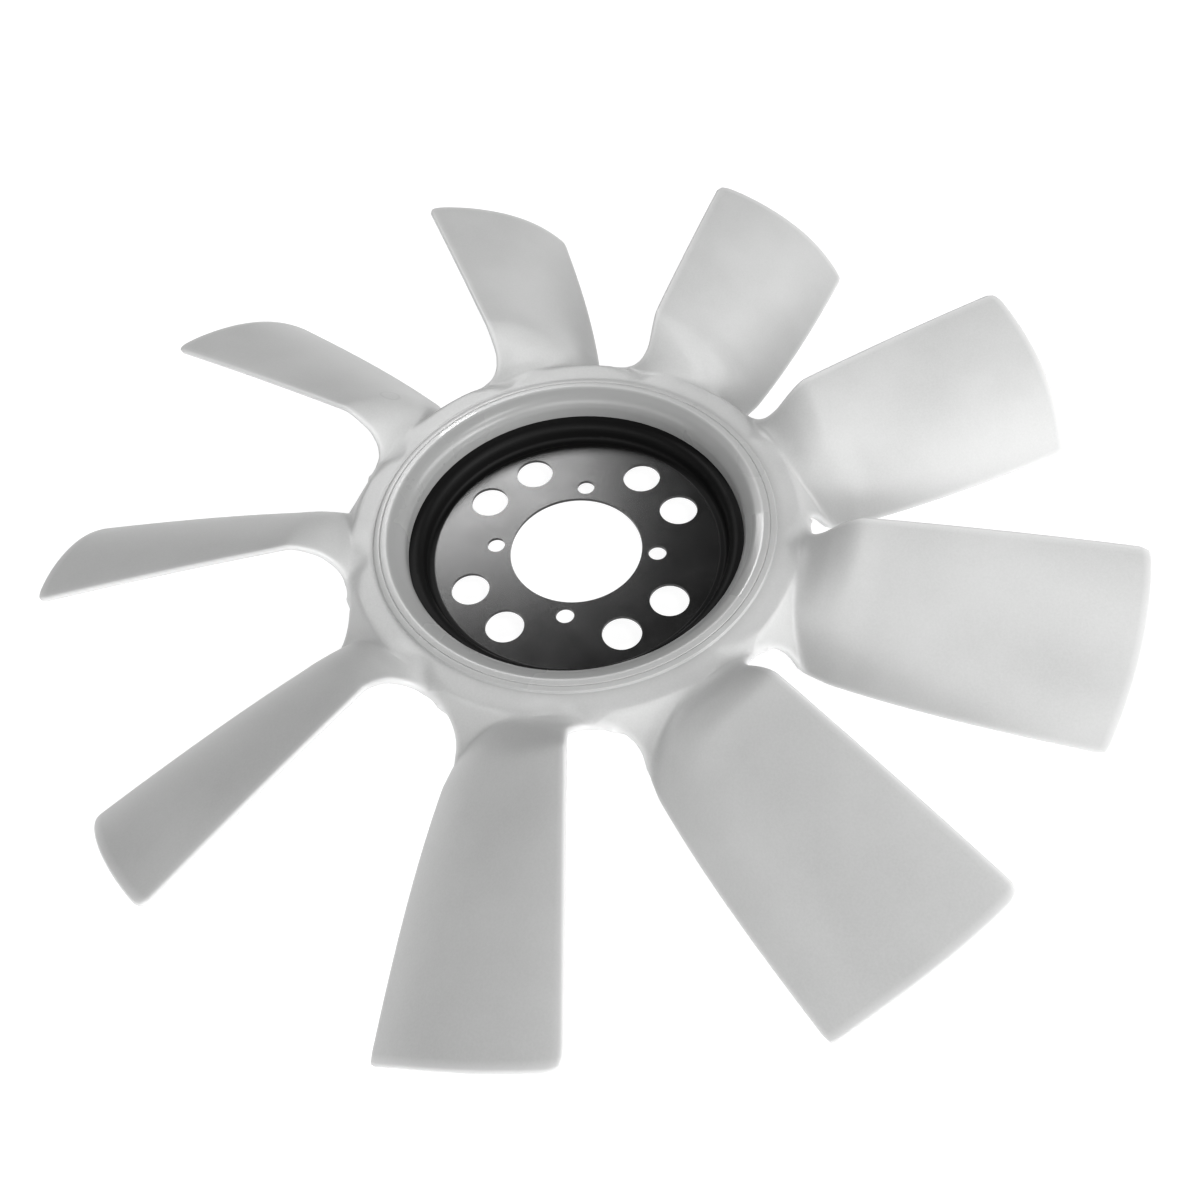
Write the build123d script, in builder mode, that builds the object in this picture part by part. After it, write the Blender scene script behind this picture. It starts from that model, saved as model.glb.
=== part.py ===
from build123d import *
import os
from math import cos, radians, sin, sqrt

# Axial fan impeller: nine cambered blades and their hub ring are one nylon moulding, cast round the
# turned-out flange of a pressed steel hub plate. Lengths in millimetres, angles in degrees.
# Origin: centre of the bore, on the mounting face inside the recess. +Z points out of the recess,
# towards the air inlet.

# ---- hub plate -------------------------------------------------------------------------------------
SHEET = 2.0                 # steel thickness
BORE_D = 78.0
BOLT_D = 10.5               # clearance for M10
BOLT_PCD = 96.2
BOLT_COUNT = 4
LIGHT_HOLE_D = 22.4         # lightening holes, in pairs between the bolts
LIGHT_PCD = 133.4
LIGHT_PAIR_ANGLE = 45.0     # centre line of the first pair
LIGHT_HALF_ANGLE = 15.0     # each hole of a pair from that line
CUP_R = 89.0                # inside radius of the recess wall
CUP_CORNER_R = 2.5          # inside corner between floor and wall
FLANGE_TOP_Z = 11.5
FLANGE_R = 108.0
FLANGE_BEND_R = 5.0         # outside bend between wall and flange
KEY_HOLE_D = 7.0            # holes that the nylon fills, so that the plate can't turn in it
KEY_PCD = 204.0

# ---- hub ring --------------------------------------------------------------------------------------
BLADE_COUNT = 9
LIP_R = 97.5                # inner edge of the ring, standing on the steel flange
LIP_TOP_Z = 16.0            # where the lip starts to roll outwards
CREST_R = 111.2
CREST_Z = 27.2
GROOVE_R = 114.0            # shallow groove outside the crest
GROOVE_Z = 24.0
DECK_START_R = 118.0
DECK_R = 127.0              # flat deck, then a rounded shoulder down to the rim
DECK_Z = 26.0
RIM_R = 133.0
RIM_BOTTOM_Z = 16.5
WALL_R = 116.5              # outside of the ring's standing wall
WALL_T = 4.0
RING_BOTTOM_Z = -10.0
UNDER_R = 94.5              # inner edge of the nylon below the steel flange
UNDER_Z = 5.5
INNER_CORNER_R = 2.5
RIB_COUNT = 18              # ribs in the ring's underside channel
RIB_T = 2.5
RIB_BOTTOM_Z = -6.0
RIB_TOP_Z = 6.5             # a little into the channel's roof
RIB_MID_R = 104.5
RIB_LENGTH = 18.0

# ---- blades ----------------------------------------------------------------------------------------
TIP_R = 302.0
BLADE_T = 3.0
HIGH_EDGE_AZIMUTH = 77.15   # leading edge of the first blade, a straight radial line in plan
AXIS_ANGLE = 11.0           # blade sections stand square to a line this far behind that edge
EDGE_R = 165.0              # radius from which the edge formulas below count
HIGH_Z = 47.4
HIGH_FALL = 0.0105          # the leading edge drops a little towards the tip: per mm, and per mm squared
HIGH_CURVE = 0.00023
LOW_Z = -10.2
LAG = 25.35                 # degrees that the trailing edge lies behind, and its change per mm of radius
LAG_RATE = 0.066
LAG_CURVE = 0.0001
ROOT_LAG_RATE = 0.02        # slower change inside EDGE_R
CAMBER = 10.0               # rise of the section's middle above its chord
ROOT_CAMBER = 12.0          # the same at the first section
ROOT_OUTER_R = 160.0        # inside this radius the leading edge comes down to the deck
ROOT_INNER_R = 126.0
ROOT_SPREAD = 3.5           # degrees by which the leading edge flares forward where it meets the rim
SPREAD_OUTER_R = 155.0      # radius where that flare begins
FIRST_STATION = 107.0       # evenly spaced sections, the last just past the tip
LAST_STATION = 306.0
STATION_COUNT = 10
HIGH_TIP_CORNER_R = 10.0
LOW_TIP_CORNER_R = 6.0

# ---- webs that carry the deck down to the trailing edges --------------------------------------------
WEB_TOP_Z = 20.0            # where the web leaves the rim
WEB_FOOT_R = 153.0          # radius that it reaches at the foot of the blade
WEB_T = 4.0
WEB_START = -36.0           # angles of the web's ends from the leading edge
WEB_END = -8.0
FLARE_REACH = 14.0          # concave run from the rim into the trailing edge: a quarter of an ellipse
FLARE_ANGLE = 9.6
EDGE_CLEARANCE = 0.35       # degrees that a trimming outline stands off the blade's edges
INNER_END_R = 114.5         # inner end of the blades, inside the ring's wall
MID_R = 235.0               # middle of the blade's span
GAP_MARGIN = 15.0           # degrees that the gap's cutter reaches past the web's end
TALL = 100.0                # height of cutters, more than the blade's
INNER_LEAD = 5.0            # angle of the leading corner of the blades' inner end
CLEAR_INNER_R = 110.5       # space under the deck and the web that is kept free of the blades
CLEAR_OUTER_R = 158.0
CLEAR_BOTTOM_Z = -30.0


def root_fade(radius, outer, inner):
    """0 at the outer radius and beyond, rising smoothly to 1 at the inner radius."""
    share = min(max((outer - radius) / (outer - inner), 0.0), 1.0)
    return share * share * (3 - 2 * share)


def leading_z(radius):
    """Height of the leading edge."""
    run = radius - EDGE_R
    height = HIGH_Z - HIGH_FALL * run - HIGH_CURVE * run**2
    return height - (height - DECK_Z) * root_fade(radius, ROOT_OUTER_R, ROOT_INNER_R)


def leading_angle(radius):
    """Angle of the leading edge: zero but for the flare at the root."""
    return ROOT_SPREAD * root_fade(radius, SPREAD_OUTER_R, RIM_R)


def trailing_angle(radius):
    """Angle of the trailing edge behind the leading edge."""
    run = radius - EDGE_R
    if run < 0:
        return ROOT_LAG_RATE * run - LAG
    return LAG_RATE * run - LAG_CURVE * run**2 - LAG


def edge_end(station, angle_at, height_at):
    """Where an edge of the blade crosses a section's plane, as (across, height)."""
    radius = station
    for _ in range(8):
        angle = radians(angle_at(radius) + AXIS_ANGLE)
        radius = station / cos(angle)
    return radius * sin(angle), height_at(radius)


def section_ends(station):
    """Trailing and leading end of a section."""
    trail = edge_end(station, trailing_angle, lambda radius: LOW_Z)
    lead = edge_end(station, leading_angle, leading_z)
    return trail, lead


def section_plane(station):
    """Plane square to the blade's axis: x runs towards the leading edge, y is up."""
    azimuth = radians(HIGH_EDGE_AZIMUTH - AXIS_ANGLE)
    outward = (cos(azimuth), sin(azimuth), 0)
    across = (-sin(azimuth), cos(azimuth), 0)
    origin = (station * outward[0], station * outward[1], 0)
    return Plane(origin=origin, x_dir=across, z_dir=outward)


def camber_points(station, lift):
    """Three points of the camber arc, moved square to the chord by lift."""
    (x0, z0), (x1, z1) = section_ends(station)
    chord = sqrt((x1 - x0) ** 2 + (z1 - z0) ** 2)
    up = (-(z1 - z0) / chord, (x1 - x0) / chord)
    rise = CAMBER + (ROOT_CAMBER - CAMBER) * root_fade(station, EDGE_R, FIRST_STATION)
    middle = ((x0 + x1) / 2 + up[0] * rise, (z0 + z1) / 2 + up[1] * rise)
    points = ((x0, z0), middle, (x1, z1))
    return [(x + up[0] * lift, z + up[1] * lift) for x, z in points]


def edge_noses(station):
    """Outermost points of the rounded edges."""
    (x0, z0), (x1, z1) = section_ends(station)
    chord = sqrt((x1 - x0) ** 2 + (z1 - z0) ** 2)
    along = ((x1 - x0) / chord * BLADE_T / 2, (z1 - z0) / chord * BLADE_T / 2)
    return (x0 - along[0], z0 - along[1]), (x1 + along[0], z1 + along[1])


def upright_plane(angle):
    """Plane through the axis of rotation, at an angle from the first leading edge."""
    azimuth = radians(HIGH_EDGE_AZIMUTH + angle)
    outward = (cos(azimuth), sin(azimuth), 0)
    return Plane(origin=(0, 0, 0), x_dir=outward, z_dir=(sin(azimuth), -cos(azimuth), 0))


def station_at(index):
    """Distance of a section along the blade's axis."""
    return FIRST_STATION + (LAST_STATION - FIRST_STATION) * index / (STATION_COUNT - 1)


def plan_point(radius, angle):
    """Point in plan at an angle from the first blade's leading edge."""
    azimuth = radians(HIGH_EDGE_AZIMUTH + angle)
    return (radius * cos(azimuth), radius * sin(azimuth))


def draw_profile(*corners):
    """Closed outline through corners given as (radius, height, fillet)."""
    points = [(radius, height) for radius, height, _ in corners]
    FilletPolyline(*points, radius=[corner[2] for corner in corners], close=True)


# ---- hub plate: dished disc with a turned-out flange ------------------------------------------------
with BuildPart() as hub_plate:
    with BuildSketch(Plane.XZ):
        with BuildLine():
            draw_profile(
                (BORE_D / 2, 0, 0),
                (CUP_R, 0, CUP_CORNER_R),
                (CUP_R, FLANGE_TOP_Z, FLANGE_BEND_R),
                (FLANGE_R, FLANGE_TOP_Z, 0),
                (FLANGE_R, FLANGE_TOP_Z - SHEET, 0),
                (CUP_R + SHEET, FLANGE_TOP_Z - SHEET, FLANGE_BEND_R - SHEET),
                (CUP_R + SHEET, -SHEET, CUP_CORNER_R + SHEET),
                (BORE_D / 2, -SHEET, 0),
            )
        make_face()
    revolve(axis=Axis.Z)
    with PolarLocations(BOLT_PCD / 2, BOLT_COUNT):
        Hole(BOLT_D / 2)
    for half_angle in (-LIGHT_HALF_ANGLE, LIGHT_HALF_ANGLE):
        with PolarLocations(LIGHT_PCD / 2, BOLT_COUNT, start_angle=LIGHT_PAIR_ANGLE + half_angle):
            Hole(LIGHT_HOLE_D / 2)
    with PolarLocations(KEY_PCD / 2, BLADE_COUNT):
        Hole(KEY_HOLE_D / 2)
hub_plate.part.label = "hub_plate"


# ---- one blade, trimmed to the tip circle -----------------------------------------------------------
with BuildPart() as blade:
    for index in range(STATION_COUNT):
        station = station_at(index)
        upper = camber_points(station, BLADE_T / 2)
        lower = camber_points(station, -BLADE_T / 2)
        trail_nose, lead_nose = edge_noses(station)
        with BuildSketch(section_plane(station)):
            with BuildLine():
                ThreePointArc(*upper)
                ThreePointArc(upper[2], lead_nose, lower[2])
                ThreePointArc(*reversed(lower))
                ThreePointArc(lower[0], trail_nose, upper[0])
            make_face()
    loft()
    # plan outline: tip circle with rounded corners, and the inner end inside the ring's wall
    with BuildSketch(Plane.XY):
        with BuildLine():
            lead_tip = plan_point(TIP_R, EDGE_CLEARANCE)
            trail_tip = plan_point(TIP_R, trailing_angle(TIP_R) - EDGE_CLEARANCE)
            trail_root = plan_point(INNER_END_R, WEB_START)
            lead_root = plan_point(INNER_END_R, INNER_LEAD)
            lead_rim = plan_point(RIM_R, ROOT_SPREAD + EDGE_CLEARANCE)
            lead_straight = plan_point(SPREAD_OUTER_R, EDGE_CLEARANCE)
            Polyline(lead_root, lead_rim, lead_straight, lead_tip)
            ThreePointArc(lead_tip, plan_point(TIP_R, trailing_angle(TIP_R) / 2), trail_tip)
            trail_mid = plan_point(MID_R, trailing_angle(MID_R) - EDGE_CLEARANCE)
            ThreePointArc(trail_tip, trail_mid, trail_root)
            ThreePointArc(trail_root, plan_point(INNER_END_R, WEB_END), lead_root)
        outline = make_face()
        tips = outline.vertices().group_by(SortBy.DISTANCE)[-1]
        fillet(tips.sort_by(Axis.X)[0], HIGH_TIP_CORNER_R)
        fillet(tips.sort_by(Axis.X)[-1], LOW_TIP_CORNER_R)
    extrude(amount=TALL, both=True, mode=Mode.INTERSECT)
    # nothing of the blade stays under the deck and the web
    with BuildSketch(Plane.XZ):
        Polygon(
            (CLEAR_INNER_R, CLEAR_BOTTOM_Z),
            (CLEAR_OUTER_R, CLEAR_BOTTOM_Z),
            (RIM_R - WEB_T, DECK_Z - WEB_T),
            (CLEAR_INNER_R, DECK_Z - WEB_T),
            align=None,
        )
    revolve(axis=Axis.Z, mode=Mode.SUBTRACT)

# ---- web: part of a cone between the rim and the blade's face ---------------------------------------
with BuildPart() as under_blade:
    for index in range(STATION_COUNT // 2):
        low_end, middle, high_end = camber_points(station_at(index), 0)
        with BuildSketch(section_plane(station_at(index))):
            with BuildLine():
                ThreePointArc(low_end, middle, high_end)
                Polyline(
                    high_end,
                    (high_end[0], -TALL),
                    (low_end[0] - WEB_FOOT_R / 2, -TALL),
                    (low_end[0] - WEB_FOOT_R / 2, low_end[1]),
                    low_end,
                )
            make_face()
    loft()

with BuildPart() as web:
    with BuildSketch(upright_plane(WEB_START)):
        Polygon(
            (RIM_R - WEB_T / 2, DECK_Z - WEB_T),
            (RIM_R, WEB_TOP_Z),
            (WEB_FOOT_R, RING_BOTTOM_Z - WEB_T / 2),
            (WEB_FOOT_R - WEB_T, RING_BOTTOM_Z - WEB_T / 2),
            (RIM_R - WEB_T, WEB_TOP_Z - WEB_T / 2),
            align=None,
        )
    revolve(axis=Axis.Z, revolution_arc=WEB_END - WEB_START)
    add(under_blade.part, mode=Mode.SUBTRACT)
    # the gap between two blades runs into the trailing edge in a concave flare
    with BuildSketch(Plane.XY):
        with BuildLine():
            flare_angle = trailing_angle(RIM_R + FLARE_REACH)
            gap_inner = plan_point(RIM_R, WEB_START - GAP_MARGIN)
            gap_corner = plan_point(EDGE_R, WEB_START - GAP_MARGIN)
            flare_start = plan_point(RIM_R, flare_angle - FLARE_ANGLE)
            flare_end = plan_point(RIM_R + FLARE_REACH, flare_angle)
            gap_outer = plan_point(EDGE_R, trailing_angle(EDGE_R))
            rim_run = plan_point(RIM_R, flare_angle - FLARE_ANGLE - GAP_MARGIN / 2)
            ThreePointArc(gap_inner, rim_run, flare_start)
            along_rim = plan_point(1, flare_angle - FLARE_ANGLE + 90)
            along_edge = plan_point(1, flare_angle)
            Spline(flare_start, flare_end, tangents=(along_rim, along_edge))
            Polyline(flare_end, gap_outer, gap_corner, gap_inner)
        make_face()
    extrude(amount=TALL, both=True, mode=Mode.SUBTRACT)

with BuildPart() as rooted_blade:
    add(blade.part)
    add(web.part)

# ---- moulding: hub ring, nine blades and their webs, cast round the plate's flange -------------------
with BuildPart() as fan_moulding:
    with BuildSketch(Plane.XZ):
        with BuildLine():
            draw_profile(
                (UNDER_R, UNDER_Z, 0),
                (UNDER_R, FLANGE_TOP_Z - SHEET / 2, 0),
                (LIP_R, FLANGE_TOP_Z - SHEET / 2, 0),
                (LIP_R, CREST_Z, CREST_Z - LIP_TOP_Z),
                (CREST_R, CREST_Z, 0),
                (GROOVE_R, GROOVE_Z, 0),
                (DECK_START_R, DECK_Z, 0),
                (RIM_R, DECK_Z, RIM_R - DECK_R),
                (RIM_R, RIM_BOTTOM_Z, 0),
                (RIM_R - WEB_T, RIM_BOTTOM_Z, 0),
                (RIM_R - WEB_T, DECK_Z - WEB_T, 0),
                (WALL_R, DECK_Z - WEB_T, INNER_CORNER_R),
                (WALL_R, RING_BOTTOM_Z, 0),
                (WALL_R - WALL_T, RING_BOTTOM_Z, 0),
                (WALL_R - WALL_T, UNDER_Z, INNER_CORNER_R),
            )
        make_face()
    revolve(axis=Axis.Z)
    with PolarLocations(0, BLADE_COUNT):
        add(rooted_blade.part)
    with PolarLocations(RIB_MID_R, RIB_COUNT):
        with Locations((0, 0, RIB_BOTTOM_Z)):
            rib_height = RIB_TOP_Z - RIB_BOTTOM_Z
            Box(RIB_LENGTH, RIB_T, rib_height, align=(Align.CENTER, Align.CENTER, Align.MIN))
    add(hub_plate.part, mode=Mode.SUBTRACT)
fan_moulding.part.label = "fan_moulding"

os.makedirs("parts", exist_ok=True)
export_step(hub_plate.part, "parts/hub_plate.step")
export_step(fan_moulding.part, "parts/fan_moulding.step")
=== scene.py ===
import bpy
import bmesh
import numpy as np
from math import cos, degrees, pi, radians, sin
from mathutils import Matrix, Vector


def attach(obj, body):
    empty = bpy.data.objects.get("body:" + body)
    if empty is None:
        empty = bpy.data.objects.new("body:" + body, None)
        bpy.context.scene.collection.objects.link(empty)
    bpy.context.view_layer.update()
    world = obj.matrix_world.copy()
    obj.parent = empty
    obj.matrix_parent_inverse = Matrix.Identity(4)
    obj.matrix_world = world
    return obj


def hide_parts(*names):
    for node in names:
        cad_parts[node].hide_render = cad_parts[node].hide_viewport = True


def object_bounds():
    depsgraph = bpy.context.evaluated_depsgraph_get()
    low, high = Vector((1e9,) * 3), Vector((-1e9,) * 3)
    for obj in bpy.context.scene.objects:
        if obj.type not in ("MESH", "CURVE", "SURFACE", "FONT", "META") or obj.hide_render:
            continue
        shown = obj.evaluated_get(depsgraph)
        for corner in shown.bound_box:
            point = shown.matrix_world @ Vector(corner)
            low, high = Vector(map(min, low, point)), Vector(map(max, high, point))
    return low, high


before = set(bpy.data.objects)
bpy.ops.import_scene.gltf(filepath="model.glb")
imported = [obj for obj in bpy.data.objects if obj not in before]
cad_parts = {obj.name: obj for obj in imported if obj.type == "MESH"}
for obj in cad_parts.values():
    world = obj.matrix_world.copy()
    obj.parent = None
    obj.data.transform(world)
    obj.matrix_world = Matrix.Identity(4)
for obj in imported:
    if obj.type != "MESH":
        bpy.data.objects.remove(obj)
CAD_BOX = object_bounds()

FLOOR_SIZE = 12.0
FLOOR_COLOUR = (0.25, 0.25, 0.25, 1)
FLOOR_GLOW = 0.93
SKY_STRENGTH = 0.06

# ---- camera: the photograph's station point, in metres and degrees ------------------------------------
CAMERA_PLACE = (0.09573, -0.40165, 0.51368)
CAMERA_TURN = (35.898, 5.879, 8.123)
LENS_MM = 33.476
SENSOR_MM = 36.0
CAMERA_SHIFT = (0.041, 0.0012)


def make_camera():
    data = bpy.data.cameras.new("camera")
    data.lens = LENS_MM
    data.sensor_width = SENSOR_MM
    data.shift_x, data.shift_y = CAMERA_SHIFT
    camera = bpy.data.objects.new("camera", data)
    camera.location = CAMERA_PLACE
    camera.rotation_euler = [radians(turn) for turn in CAMERA_TURN]
    bpy.context.scene.collection.objects.link(camera)
    bpy.context.scene.camera = camera


def new_material(name):
    material = bpy.data.materials.new(name)
    material.use_nodes = True
    tree = material.node_tree
    return material, tree, tree.nodes["Principled BSDF"]


def add_node(tree, kind, inputs=None, **settings):
    """A node with some of its settings and input values, or links, given."""
    node = tree.nodes.new(kind)
    for name, value in settings.items():
        setattr(node, name, value)
    for name, value in (inputs or {}).items():
        if isinstance(value, bpy.types.NodeSocket):
            tree.links.new(value, node.inputs[name])
        else:
            node.inputs[name].default_value = value
    return node


def mixed(tree, share, low, high):
    """Colour between two colours, by a share from 0 to 1."""
    mix = add_node(tree, "ShaderNodeMix", data_type="RGBA")
    tree.links.new(share, mix.inputs["Factor"])
    for socket, colour in ((mix.inputs[6], low), (mix.inputs[7], high)):
        if isinstance(colour, bpy.types.NodeSocket):
            tree.links.new(colour, socket)
        else:
            socket.default_value = (*colour, 1)
    return mix.outputs[2]


def ramped(tree, value, *stops):
    """A value read through a ramp given as (position, level)."""
    ramp = add_node(tree, "ShaderNodeValToRGB", {"Fac": value})
    points = ramp.color_ramp.elements
    while len(points) < len(stops):
        points.new(0.5)
    for point, (position, level) in zip(points, stops):
        point.position = position
        point.color = (level, level, level, 1)
    return ramp.outputs["Color"]


def make_floor():
    floor_z = CAD_BOX[0][2]
    bpy.ops.mesh.primitive_plane_add(size=FLOOR_SIZE, location=(0, 0, floor_z))
    floor = bpy.context.object
    floor.name = "floor"
    material, _, shader = new_material("floor")
    shader.inputs["Base Color"].default_value = FLOOR_COLOUR
    shader.inputs["Roughness"].default_value = 0.9
    shader.inputs["Specular IOR Level"].default_value = 0
    shader.inputs["Emission Color"].default_value = (1, 1, 1, 1)
    shader.inputs["Emission Strength"].default_value = FLOOR_GLOW
    floor.data.materials.append(material)


def soft_box(name, azimuth, elevation, distance, width, height, power):
    """Rectangular lamp that faces the hub from a direction given in degrees."""
    data = bpy.data.lights.new(name, "AREA")
    data.shape = "RECTANGLE"
    data.size = width
    data.size_y = height
    data.energy = power
    lamp = bpy.data.objects.new(name, data)
    level = distance * cos(radians(elevation))
    lamp.location = (
        level * cos(radians(azimuth)), level * sin(radians(azimuth)), distance * sin(radians(elevation)))
    lamp.rotation_euler = (-Vector(lamp.location)).to_track_quat("-Z", "Y").to_euler()
    bpy.context.scene.collection.objects.link(lamp)


def light_studio():
    soft_box("right_softbox", 0, 26, 1.9, 1.4, 0.8, 19)
    soft_box("front_softbox", -86, 28, 1.9, 1.8, 0.9, 18.5)
    soft_box("front_right_softbox", -30, 20, 1.7, 0.8, 0.4, 10)
    soft_box("left_softbox", -138, 26, 1.9, 1.3, 0.8, 8)
    soft_box("back_left_softbox", 114, 44, 1.7, 0.55, 0.36, 9)
    soft_box("overhead_softbox", -24, 60, 1.7, 0.5, 0.4, 6)
    world = bpy.data.worlds.new("studio")
    world.use_nodes = True
    background = world.node_tree.nodes["Background"]
    background.inputs["Color"].default_value = (1, 1, 1, 1)
    background.inputs["Strength"].default_value = SKY_STRENGTH
    bpy.context.scene.world = world
    bpy.context.scene.view_settings.view_transform = "Standard"


# ---- moulding: driving sizes in millimetres, as in the CAD source --------------------------------------
BLADES = 9
PITCH = 360 / BLADES            # degrees between blades
HIGH_EDGE_AZIMUTH = 77.15       # leading edge of the first blade
TIP_R = 302.0
EDGE_R = 165.0                  # radius from which the edge formulas count
HIGH_Z = 47.4                   # leading edge at that radius
HIGH_EDGE_FALL = (0.0105, 0.00023)      # its fall outwards: per mm, and per mm squared
HIGH_ROOT = (160, 34)           # it comes down to the deck inside this radius, over this run
LOW_Z = -10.2                   # trailing edge
LOW_EDGE_TURN = (-25.35, 0.066, -0.0001)    # its angle: at that radius, per mm, and per mm squared
LOW_ROOT_TURN = 0.02            # the same per mm inside that radius
CAMBER = (10.1, -4.1, 3.06)     # bulge of the section: mean, lean and lean squared
LIFT = 1.75                     # from the camber surface to the top face
BLADE_T = 3.0
DECK_T = 4.0
THICK_ROOT = (165, 30)          # the blade thickens to the deck's thickness inside this radius, over this run
RIM_R = 133.0
RIM_Z = 20.0
DECK_START_R = 118.0
DECK_Z = 26.0
WEB_SLOPE = 1.5                 # fall of the webs, from the rim down to the trailing edges
FLANK_SLOPE = 0.5               # gentler shoulder just past each leading edge
FLANK_ANGLE = 12.0
FLANK_FALL = 25.0               # past its leading edge a blade falls this much per chord
FLANK_END = 0.3                 # and past this share of a chord it drops away
FLANK_DROP = 900.0
CORNER_DIP = 2.5                # the leading edge dips where it meets the rim
CORNER_DIP_PLACE = (145, 12)    # inside this radius, over this run
ROOT_RAMP = 0.22                # and falls by this slope inside ROOT_RAMP_R, where the root fades out
ROOT_RAMP_R = 130
ROOT_CAMBER = 0.5               # extra share of camber at the root
ROOT_CAMBER_PLACE = (175, 45)   # inside this radius, over this run
EDGE_MARGIN = 0.03              # the section goes on straight this far past both edges
ROOT_BLEND = 3.0                # softness of the crease between ring and blade
DECK_BLEND = 3.0                # and of the one between deck and webs
DECK_FADE = 4                   # run over which the flat deck turns into the blades
SEAM = 4.5                      # angle past a leading edge where one blade's skin meets the next one's
FLARE_REACH = 14.0              # gap outline: quarter ellipse from the rim into the trailing edge
FLARE_ANGLE = 9.6
LEAD_REACH = 10.0               # and a tighter one into the leading edge
HIGH_TIP_CORNER_R = 6.0
LOW_TIP_CORNER_R = 3.0
RIB_COUNT = 18
RIB_T = 2.5
RIB_LENGTH = 18.0
RIB_MID_R = 104.5
RIB_SPAN = (-6.0, 6.5)
RIB_EDGE = 0.5
MERGE_DISTANCE = 0.00002        # in metres
RADIAL_ROWS = 9                 # relaxed grid: rows from deck start to rim
SIDE_ROWS = 86                  # rows along a side, from the rim to the tip
ACROSS = 37                     # columns
RELAX_ROUNDS = 1500
RELAX_STEP = 0.9
RING_ROWS = 11                  # final mesh: rows up to the rim
OUTER_ROWS = 62                 # and from there to the tip
ROOT_CROWDING = 0.6             # 0 spaces the outer rows evenly, 1 crowds them at the root
PAINTED_HIGHLIGHT_WIDTH = 4.0                 # width of the painted highlight, a paler colour along the thin edges
EDGE_STEPS = (0.12, 0.45, 1.0, 1.7)   # extra mesh lines close to the rounded edges


def ease(x):
    x = np.clip(x, 0, 1)
    return x * x * (3 - 2 * x)


def eased_in(radius, place):
    """0 outside a radius, and 1 further in than a run from it."""
    outer, run = place
    return ease((outer - radius) / run)


def soft_max(a, b, width):
    """The larger of two values, rounded where they cross."""
    overlap = np.maximum(width - np.abs(a - b), 0) / width
    return np.maximum(a, b) + overlap**2 * width / 4


def soft_min(a, b, width):
    return -soft_max(-a, -b, width)


def leading_z(radius):
    run = radius - EDGE_R
    full = HIGH_Z - HIGH_EDGE_FALL[0] * run - HIGH_EDGE_FALL[1] * run**2
    height = full - (full - DECK_Z) * eased_in(radius, HIGH_ROOT)
    dip = CORNER_DIP * eased_in(radius, CORNER_DIP_PLACE)
    return height - dip - ROOT_RAMP * np.maximum(ROOT_RAMP_R - radius, 0)


def trailing_angle(radius):
    run = radius - EDGE_R
    start, slope, bend = LOW_EDGE_TURN
    return np.where(run > 0, start + slope * run + bend * run**2, start + LOW_ROOT_TURN * run)


def blade_top(radius, angle):
    """Height of one blade's top face, and of its flank past the leading edge."""
    share = 1 - angle / trailing_angle(radius)
    inside = np.clip(share, -EDGE_MARGIN, 1 + EDGE_MARGIN)
    lean = 2 * inside - 1
    mean, skew, belly = CAMBER
    bulge = 4 * inside * (1 - inside) * (mean + skew * lean + belly * lean**2)
    bulge = bulge * (1 + ROOT_CAMBER * eased_in(radius, ROOT_CAMBER_PLACE))
    height = LOW_Z + (leading_z(radius) - LOW_Z) * np.minimum(share, 1 + EDGE_MARGIN) + bulge
    past = np.maximum(share - 1 - EDGE_MARGIN, 0)
    return height - FLANK_FALL * past - FLANK_DROP * np.maximum(past - FLANK_END, 0)**2 + LIFT


def skin_top(x, y):
    """Height of the top face over a point in plan, around one blade with its leading edge along +X."""
    radius = np.hypot(x, y)
    angle = np.degrees(np.arctan2(y, x))
    past_edge = np.abs((angle + PITCH / 2) % PITCH - PITCH / 2)
    slope = WEB_SLOPE - (WEB_SLOPE - FLANK_SLOPE) * (1 - ease(past_edge / FLANK_ANGLE))
    slope = np.where(radius < RIM_R, slope, WEB_SLOPE)
    ring = soft_min(DECK_Z, RIM_Z - slope * (radius - RIM_R), DECK_BLEND)
    blades = np.maximum.reduce([blade_top(radius, angle + shift) for shift in (-PITCH, 0, PITCH)])
    height = soft_max(ring, blades, ROOT_BLEND)
    return DECK_Z + (height - DECK_Z) * ease((radius - DECK_START_R) / DECK_FADE)


def in_plan(radius, angle):
    turn = np.radians(angle)
    return np.stack([radius * np.cos(turn), radius * np.sin(turn)], -1)


def spaced(points, count):
    """The same path with evenly spaced points."""
    along = np.r_[0, np.cumsum(np.hypot(*np.diff(points, axis=0).T))]
    wanted = np.linspace(0, along[-1], count)
    return np.stack([np.interp(wanted, along, points[:, axis]) for axis in (0, 1)], -1)


def round_corner(before, at, after, radius, steps=16):
    """Arc that rounds a corner, and the length that it takes off each side."""
    leg_in = (before - at) / np.linalg.norm(before - at)
    leg_out = (after - at) / np.linalg.norm(after - at)
    half = np.arccos(np.clip(leg_in @ leg_out, -1, 1)) / 2
    trim = radius / np.tan(half)
    centre = at + (leg_in + leg_out) / np.linalg.norm(leg_in + leg_out) * radius / np.sin(half)
    start = at + leg_in * trim - centre
    end = at + leg_out * trim - centre
    sweep = np.arccos(np.clip(start @ end / radius**2, -1, 1))
    share = np.linspace(0, 1, steps)[:, None]
    arc = (np.sin((1 - share) * sweep) * start + np.sin(share * sweep) * end) / np.sin(sweep)
    return centre + arc, trim


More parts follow.
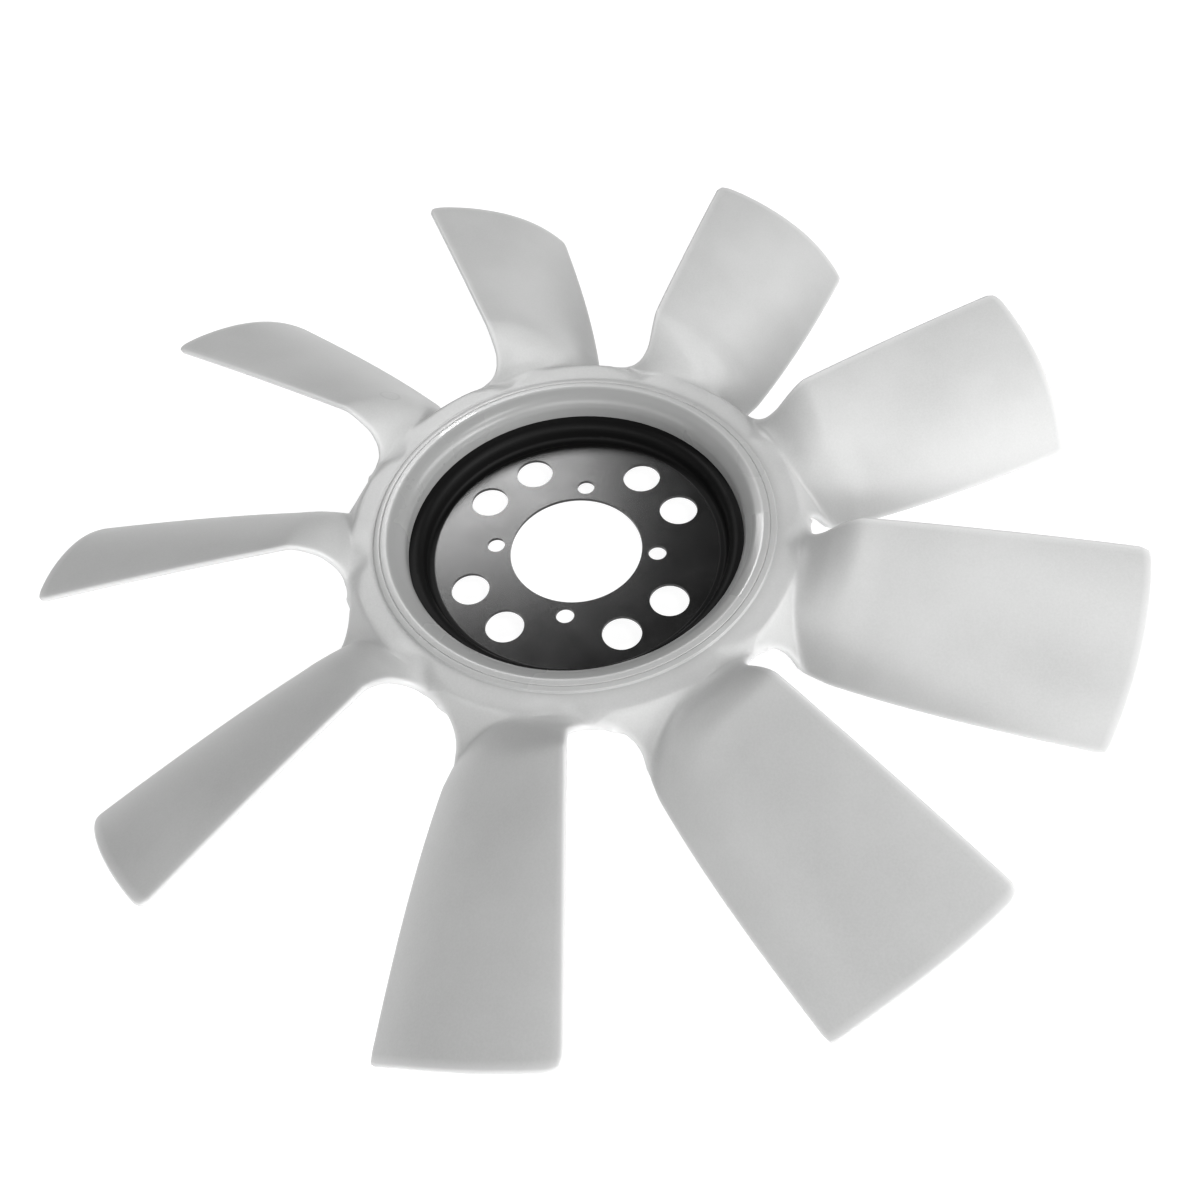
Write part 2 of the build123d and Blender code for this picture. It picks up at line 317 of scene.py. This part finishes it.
def blade_outline():
    """Plan outline of one blade's share of the moulding, as trailing side, leading side, inner and tip."""
    first = SEAM - PITCH
    quarter = np.linspace(0, pi / 2, 40)
    flare_end = trailing_angle(RIM_R + FLARE_REACH)
    rim = in_plan(RIM_R, np.linspace(first, flare_end - FLARE_ANGLE, 6)[:-1])
    flare = in_plan(
        RIM_R + FLARE_REACH * (1 - np.cos(quarter)), flare_end - FLARE_ANGLE * (1 - np.sin(quarter)))
    lead_flare = in_plan(RIM_R + LEAD_REACH * (1 - np.cos(quarter)), SEAM * (1 - np.sin(quarter)))
    tip_angle = float(trailing_angle(TIP_R))
    high_corner, high_trim = round_corner(
        in_plan(TIP_R - 20, 0.0), in_plan(TIP_R, 0.0), in_plan(TIP_R, -5.0), HIGH_TIP_CORNER_R)
    low_corner, low_trim = round_corner(
        in_plan(TIP_R - 20, float(trailing_angle(TIP_R - 20))), in_plan(TIP_R, tip_angle),
        in_plan(TIP_R, tip_angle + 5), LOW_TIP_CORNER_R)
    lead_run = np.linspace(RIM_R + LEAD_REACH, TIP_R - high_trim, 60)[1:-1]
    trail_run = np.linspace(RIM_R + FLARE_REACH, TIP_R - low_trim, 60)[1:-1]
    half = len(high_corner) // 2
    leading = np.vstack([lead_flare, in_plan(lead_run, 0 * lead_run), high_corner[:half]])
    trailing = np.vstack([rim, flare, in_plan(trail_run, trailing_angle(trail_run)), low_corner[:half]])
    tip_run = np.linspace(-degrees(high_trim / TIP_R), tip_angle + degrees(low_trim / TIP_R), 40)[1:-1]
    tip = np.vstack([high_corner[half - 1:], in_plan(TIP_R, tip_run), low_corner[half - 1:][::-1]])
    spokes = np.linspace(DECK_START_R, RIM_R, RADIAL_ROWS)
    trailing = np.vstack([in_plan(spokes, first), spaced(trailing, SIDE_ROWS)[1:]])
    leading = np.vstack([in_plan(spokes, SEAM), spaced(leading, SIDE_ROWS)[1:]])
    inner = in_plan(DECK_START_R, np.linspace(first, SEAM, ACROSS))
    return trailing, leading, inner, spaced(tip[::-1], ACROSS)


def plan_grid():
    """Smooth grid of points over the plan outline: a Coons patch relaxed to an even one."""
    trailing, leading, inner, tip = blade_outline()
    across = np.linspace(0, 1, ACROSS)[None, :, None]
    along = np.linspace(0, 1, len(trailing))[:, None, None]
    corners = (1 - across) * (1 - along) * trailing[0] + across * (1 - along) * leading[0]
    corners = corners + (1 - across) * along * trailing[-1] + across * along * leading[-1]
    grid = (1 - across) * trailing[:, None] + across * leading[:, None]
    grid = grid + (1 - along) * inner[None] + along * tip[None] - corners
    for _ in range(RELAX_ROUNDS):
        by_column = (grid[1:-1, 2:] - grid[1:-1, :-2]) / 2
        by_row = (grid[2:, 1:-1] - grid[:-2, 1:-1]) / 2
        row_weight = (by_row**2).sum(-1, keepdims=True)
        column_weight = (by_column**2).sum(-1, keepdims=True)
        skew = (by_column * by_row).sum(-1, keepdims=True)
        twist = (grid[2:, 2:] - grid[2:, :-2] - grid[:-2, 2:] + grid[:-2, :-2]) / 4
        sides = row_weight * (grid[1:-1, 2:] + grid[1:-1, :-2])
        ends = column_weight * (grid[2:, 1:-1] + grid[:-2, 1:-1])
        even = (sides + ends - 2 * skew * twist) / (2 * (row_weight + column_weight))
        grid[1:-1, 1:-1] += RELAX_STEP * (even - grid[1:-1, 1:-1])
    return with_rows(grid)


def with_rows(grid):
    """The same grid with its rows moved closer together where the surface bends most and inside the rim."""
    rim = RADIAL_ROWS - 1
    share = np.linspace(0, 1, OUTER_ROWS)
    crowded = share * (1 - ROOT_CROWDING) + share**2 * ROOT_CROWDING
    near_rim = rim - np.array(EDGE_STEPS[::-1]) * rim / (RIM_R - DECK_START_R)
    ring = np.r_[np.linspace(0, near_rim[0], RING_ROWS - len(EDGE_STEPS)), near_rim[1:]]
    wanted = np.r_[ring, rim + crowded * (len(grid) - 1 - rim)]
    before = np.minimum(wanted.astype(int), len(grid) - 2)
    part = (wanted - before)[:, None, None]
    return grid[before] * (1 - part) + grid[before + 1] * part


def with_edge_lines(grid):
    """Adds mesh lines close to the two sides and the tip, where the edges are rounded."""
    def between(near, far, distance):
        reach = np.linalg.norm(far - near, axis=-1, keepdims=True)
        share = distance / max(EDGE_STEPS) * np.minimum(max(EDGE_STEPS) / reach, 0.8)
        return near + (far - near) * share
    low_side = [between(grid[:, 0], grid[:, 1], step) for step in EDGE_STEPS]
    high_side = [between(grid[:, -1], grid[:, -2], step) for step in reversed(EDGE_STEPS)]
    columns = [grid[:, 0], *low_side, *grid[:, 1:-1].transpose(1, 0, 2), *high_side, grid[:, -1]]
    grid = np.stack(columns, 1)
    tip = [between(grid[-1], grid[-2], step) for step in reversed(EDGE_STEPS)]
    return np.stack([*grid[:-1], *tip, grid[-1]], 0)


def distance_to_path(points, path):
    """Distance of each point to a path of straight runs."""
    start = path[:-1]
    run = path[1:] - start
    length = (run**2).sum(-1)
    offset = points[..., None, :] - start
    share = np.clip((offset * run).sum(-1) / length, 0, 1)
    return np.linalg.norm(offset - share[..., None] * run, axis=-1).min(-1)


def turned(angle):
    """Matrix that turns row vectors about the axis."""
    turn = radians(angle)
    return np.array([[cos(turn), sin(turn), 0], [-sin(turn), cos(turn), 0], [0, 0, 1]])


def blade_skin():
    """Top and bottom points of one blade's share of the moulding, and the share of the painted edge highlight
    at each.
    """
    grid = with_edge_lines(plan_grid())
    x, y = grid[..., 0], grid[..., 1]
    top = np.stack([x, y, skin_top(x, y)], -1)
    step = 0.05
    slope_x = (skin_top(x + step, y) - skin_top(x - step, y)) / (2 * step)
    slope_y = (skin_top(x, y + step) - skin_top(x, y - step)) / (2 * step)
    normal = np.stack([-slope_x, -slope_y, np.ones_like(x)], -1)
    normal /= np.linalg.norm(normal, axis=-1, keepdims=True)
    radius = np.hypot(x, y)
    thick = BLADE_T + (DECK_T - BLADE_T) * eased_in(radius, THICK_ROOT)
    open_edge = np.vstack([top[RING_ROWS - 1:, 0], top[-1, 1:], top[RING_ROWS - 1:-1, -1][::-1]])
    to_edge = np.minimum.reduce([
        distance_to_path(top, open_edge @ turned(shift)) for shift in (-PITCH, 0, PITCH)])
    nose = thick / 2
    depth = np.minimum(to_edge, nose)
    inset = nose - np.sqrt(np.maximum(nose**2 - (nose - depth) ** 2, 0))
    upper = top - normal * inset[..., None]
    lower = top - normal * (thick - inset)[..., None]
    # painted highlight: share of a paler colour, 1 on the thin open edges and fading inwards
    painted_highlight = 1 - ease(to_edge / PAINTED_HIGHLIGHT_WIDTH)
    return upper, lower, painted_highlight


def rounded(*corners):
    """Profile through (radius, height, fillet) corners, with arcs for the fillets."""
    path = [np.array(corners[0][:2], float)]
    for before, at, after in zip(corners, corners[1:], corners[2:]):
        fillet = at[2]
        if fillet == 0:
            path.append(np.array(at[:2], float))
            continue
        steps = 12 if fillet > 5 else 5
        arc, _ = round_corner(*[np.array(point[:2], float) for point in (before, at, after)], fillet, steps)
        path.extend(arc)
    path.append(np.array(corners[-1][:2], float))
    return np.array(path)


def ring_profile(lower_start):
    """The ring's section, from the deck inwards, down and back out to the deck's underside."""
    return rounded(
        (DECK_START_R, DECK_Z, 0),
        (115.2, 25.9, 0.8),         # raised band
        (114.5, 27.2, 0.35),
        (111.7, 27.4, 0.2),         # groove
        (111.3, 26.8, 0.15),
        (110.9, 27.4, 0.3),
        (107.5, 27.4, 6),           # roll down to the plate
        (97.5, 24.0, 9),
        (97.5, 11.5, 0),
        (97.5, 10.5, 0),
        (94.5, 10.5, 0),            # lip round the plate's flange
        (94.5, 5.5, 1),
        (112.5, 5.5, 2.5),          # channel
        (112.5, -10, 1),            # standing wall
        (116.5, -10, 1),
        (116.5, 22, 1.2),
        (DECK_START_R, lower_start, 0),
    )


def moulding_mesh():
    upper, lower, painted_highlight = blade_skin()
    rows, columns = upper.shape[:2]
    points = []
    faces = []
    painted_highlights = []

    def add_grid(grid, painted_highlight, flip=False):
        start = len(points)
        count, width = grid.shape[:2]
        points.extend(grid.reshape(-1, 3))
        painted_highlights.extend(painted_highlight.reshape(-1))
        for row in range(count - 1):
            for column in range(width - 1):
                a = start + row * width + column
                quad = (a, a + 1, a + width + 1, a + width)
                faces.append(quad[::-1] if flip else quad)

    inner_angles = np.degrees(np.arctan2(upper[0, :, 1], upper[0, :, 0]))
    profile = ring_profile(float(lower[0, :, 2].mean()))
    for blade in range(BLADES):
        spin = turned(HIGH_EDGE_AZIMUTH + PITCH * blade)
        add_grid(upper @ spin, painted_highlight, flip=True)
        add_grid(lower @ spin, painted_highlight)
        around = np.radians(inner_angles)
        ring = np.stack([
            profile[:, 0, None] * np.cos(around), profile[:, 0, None] * np.sin(around),
            profile[:, 1, None] + 0 * around], -1)
        add_grid(ring @ spin, np.zeros(ring.shape[:2]))
    return np.array(points), faces, np.array(painted_highlights)


def add_ribs(work):
    """Ribs in the ring's underside channel, with broken edges."""
    low, high = RIB_SPAN
    for rib in range(RIB_COUNT):
        made = bmesh.ops.create_cube(work, size=1)["verts"]
        place = Matrix.Rotation(radians(rib * 360 / RIB_COUNT), 4, "Z")
        place = place @ Matrix.Translation((RIB_MID_R / 1000, 0, (low + high) / 2000))
        place = place @ Matrix.Diagonal((RIB_LENGTH / 1000, RIB_T / 1000, (high - low) / 1000, 1))
        bmesh.ops.transform(work, matrix=place, verts=made)
        edges = list({edge for vert in made for edge in vert.link_edges})
        bmesh.ops.bevel(work, geom=edges, offset=RIB_EDGE / 1000, segments=2, profile=0.5, affect="EDGES")


def build_moulding():
    points, faces, painted_highlights = moulding_mesh()
    mesh = bpy.data.meshes.new("fan_moulding_body")
    mesh.from_pydata((points / 1000).tolist(), [], faces)
    # the point attribute "edge" carries the painted highlight's share
    mesh.attributes.new("edge", "FLOAT", "POINT").data.foreach_set("value", painted_highlights)
    work = bmesh.new()
    work.from_mesh(mesh)
    bmesh.ops.remove_doubles(work, verts=work.verts, dist=MERGE_DISTANCE)
    add_ribs(work)
    bmesh.ops.recalc_face_normals(work, faces=work.faces)
    for face in work.faces:
        face.smooth = True
    work.to_mesh(mesh)
    work.free()
    body = bpy.data.objects.new("fan_moulding_body", mesh)
    bpy.context.scene.collection.objects.link(body)
    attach(body, "root")
    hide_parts("fan_moulding")
    return body


def calculated(tree, operation, first, second=0.0, third=0.0):
    """Output of a Math node over sockets or numbers."""
    node = tree.nodes.new("ShaderNodeMath")
    node.operation = operation
    for socket, value in zip(node.inputs, (first, second, third)):
        if isinstance(value, bpy.types.NodeSocket):
            tree.links.new(value, socket)
        else:
            socket.default_value = value
    return node.outputs[0]


def polar(tree, place):
    """Radius about the axis and angle in degrees."""
    split = add_node(tree, "ShaderNodeSeparateXYZ", {"Vector": place})
    across = calculated(tree, "MULTIPLY", split.outputs["X"], split.outputs["X"])
    square = calculated(tree, "MULTIPLY_ADD", split.outputs["Y"], split.outputs["Y"], across)
    angle = calculated(tree, "ARCTAN2", split.outputs["Y"], split.outputs["X"])
    return calculated(tree, "SQRT", square), calculated(tree, "DEGREES", angle)


def band(tree, value, low, high, softness):
    """1 between two values and 0 elsewhere."""
    edges = []
    for start, end in ((low, low + softness), (high, high - softness)):
        step = add_node(tree, "ShaderNodeMapRange", {
            "Value": value, "From Min": start, "From Max": end}, interpolation_type="SMOOTHSTEP", clamp=True)
        edges.append(step.outputs["Result"])
    return calculated(tree, "MULTIPLY", *edges)


def patches(tree, radius, angle, spans):
    """1 on patches given by radii in metres and angles in degrees, 0 elsewhere."""
    total = 0.0
    for inner, outer, first, last in spans:
        across = band(tree, radius, inner, outer, 0.0008)
        patch = calculated(tree, "MULTIPLY", across, band(tree, angle, first, last, 0.5))
        total = calculated(tree, "MAXIMUM", patch, total)
    return total


# patches of the nylon's finish: inner and outer radius in metres, first and last angle in degrees
POLISHED_PATCHES = (
    (0.1015, 0.1115, 130.5, 146.0), (0.1012, 0.1105, -27.0, 6.0), (0.1095, 0.1125, 121.0, 127.5))
UNEVEN_PATCHES = ((0.1115, 0.1165, -124.0, -95.0), (0.1115, 0.1175, 112.0, 143.0))
ROUND_MARK = (-0.1276, 0.09, 0)     # faint mark near the root of one blade
RING_SHADE_AND_GLOSS_END = 0.1215                   # painted shade: the nylon's colour is darker inside this radius, and it is glossier there
ROLL_SHADE_END = 0.1085                   # and more painted shade, darker again, on the roll down to the plate
WALL_START = 0.0835                 # the plate's coat is duller outside this radius


def noise(tree, place, scale, **inputs):
    inputs = {"Vector": place, "Scale": scale, **inputs}
    return add_node(tree, "ShaderNodeTexNoise", inputs).outputs["Fac"]


def round_mark(tree, place):
    """1 on a thin circle about the mark's centre, 0 elsewhere."""
    flat = add_node(tree, "ShaderNodeVectorMath", {0: place, 1: (1, 1, 0)}, operation="MULTIPLY")
    apart = add_node(tree, "ShaderNodeVectorMath", {0: flat.outputs[0], 1: ROUND_MARK}, operation="DISTANCE")
    return band(tree, apart.outputs["Value"], 0.0042, 0.0066, 0.0011)


def nylon():
    """Natural nylon: cloudy, satin, a little light passing through, with a painted highlight on the thin
    edges and painted shade on the ring and its roll.
    """
    material, tree, shader = new_material("natural_nylon")
    place = add_node(tree, "ShaderNodeTexCoord").outputs["Object"]
    clouds = noise(tree, place, 14, Detail=4, Roughness=0.55)
    grain = noise(tree, place, 900, Detail=3, Roughness=0.6)
    ripple = noise(tree, place, 260, Detail=3, Roughness=0.6)
    # share of the painted highlight along the thin edges
    edge = add_node(tree, "ShaderNodeAttribute", attribute_name="edge").outputs["Fac"]
    radius, angle = polar(tree, place)
    # mask for the painted shade on the ring's colour and for its lower roughness
    ring = band(tree, radius, 0.0, RING_SHADE_AND_GLOSS_END, 0.008)
    roll_shade = band(tree, radius, 0.0, ROLL_SHADE_END, 0.003)

    colour = mixed(tree, ramped(tree, clouds, (0.3, 0), (0.7, 1)), (0.45, 0.453, 0.45), (0.51, 0.513, 0.51))
    colour = mixed(tree, ramped(tree, grain, (0.35, 0), (0.65, 0.14)), colour, (0.68, 0.68, 0.68))
    # painted shade: the same nylon coloured darker on the ring
    colour = mixed(tree, calculated(tree, "MULTIPLY", ring, 0.5), colour, (0.36, 0.362, 0.36))
    # painted shade: darker again on the roll down to the black plate
    colour = mixed(tree, calculated(tree, "MULTIPLY", roll_shade, 0.8), colour, (0.29, 0.292, 0.29))
    mark = round_mark(tree, place)
    colour = mixed(tree, calculated(tree, "MULTIPLY", mark, 0.25), colour, (0.3, 0.3, 0.3))
    # painted highlight: paler colour along the thin edges
    colour = mixed(tree, edge, colour, (0.66, 0.66, 0.66))
    tree.links.new(colour, shader.inputs["Base Color"])

    satin = ramped(tree, clouds, (0.25, 0.34), (0.75, 0.46))
    polished = patches(tree, radius, angle, POLISHED_PATCHES)
    finish = calculated(tree, "MULTIPLY_ADD", ring, -0.12, satin)
    finish = calculated(tree, "MULTIPLY_ADD", polished, -0.12, finish)
    tree.links.new(finish, shader.inputs["Roughness"])
    shader.inputs["IOR"].default_value = 1.5
    shader.inputs["Specular IOR Level"].default_value = 0.5
    shader.inputs["Subsurface Weight"].default_value = 0.25
    shader.inputs["Subsurface Radius"].default_value = (1, 1, 1)
    shader.inputs["Subsurface Scale"].default_value = 0.003

    waviness = calculated(tree, "MULTIPLY", ripple, patches(tree, radius, angle, UNEVEN_PATCHES))
    relief = calculated(tree, "MULTIPLY_ADD", waviness, 4.0, grain)
    bump = add_node(tree, "ShaderNodeBump", {"Height": relief, "Strength": 0.08, "Distance": 0.0003})
    tree.links.new(bump.outputs["Normal"], shader.inputs["Normal"])
    return material


def coated_steel():
    """Black electrocoat on pressed steel: semi-gloss with a fine grain, duller on the wall."""
    material, tree, shader = new_material("black_coat")
    place = add_node(tree, "ShaderNodeTexCoord").outputs["Object"]
    clouds = noise(tree, place, 40, Detail=5, Roughness=0.6)
    grain = noise(tree, place, 2600, Detail=2)
    radius, _ = polar(tree, place)
    wall = band(tree, radius, WALL_START, 0.2, 0.0015)
    colour = mixed(tree, grain, (0.002, 0.002, 0.002), (0.008, 0.008, 0.008))
    tree.links.new(colour, shader.inputs["Base Color"])
    finish = ramped(tree, clouds, (0.3, 0.18), (0.7, 0.24))
    tree.links.new(calculated(tree, "MULTIPLY_ADD", wall, 0.3, finish), shader.inputs["Roughness"])
    level = calculated(tree, "MULTIPLY_ADD", wall, -0.38, 0.5)
    tree.links.new(level, shader.inputs["Specular IOR Level"])
    bump = add_node(tree, "ShaderNodeBump", {"Height": grain, "Strength": 0.14, "Distance": 0.0002})
    tree.links.new(bump.outputs["Normal"], shader.inputs["Normal"])
    return material


def dress_plate():
    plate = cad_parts["hub_plate"]
    coat = coated_steel()
    for material_slot in plate.material_slots:
        material_slot.material = coat
    bevel = plate.modifiers.new("broken_edges", "BEVEL")
    bevel.width = 0.0003
    bevel.segments = 2
    bevel.limit_method = "ANGLE"
    bevel.angle_limit = radians(50)


make_camera()
make_floor()
light_studio()
moulding = build_moulding()
moulding.data.materials.append(nylon())
dress_plate()
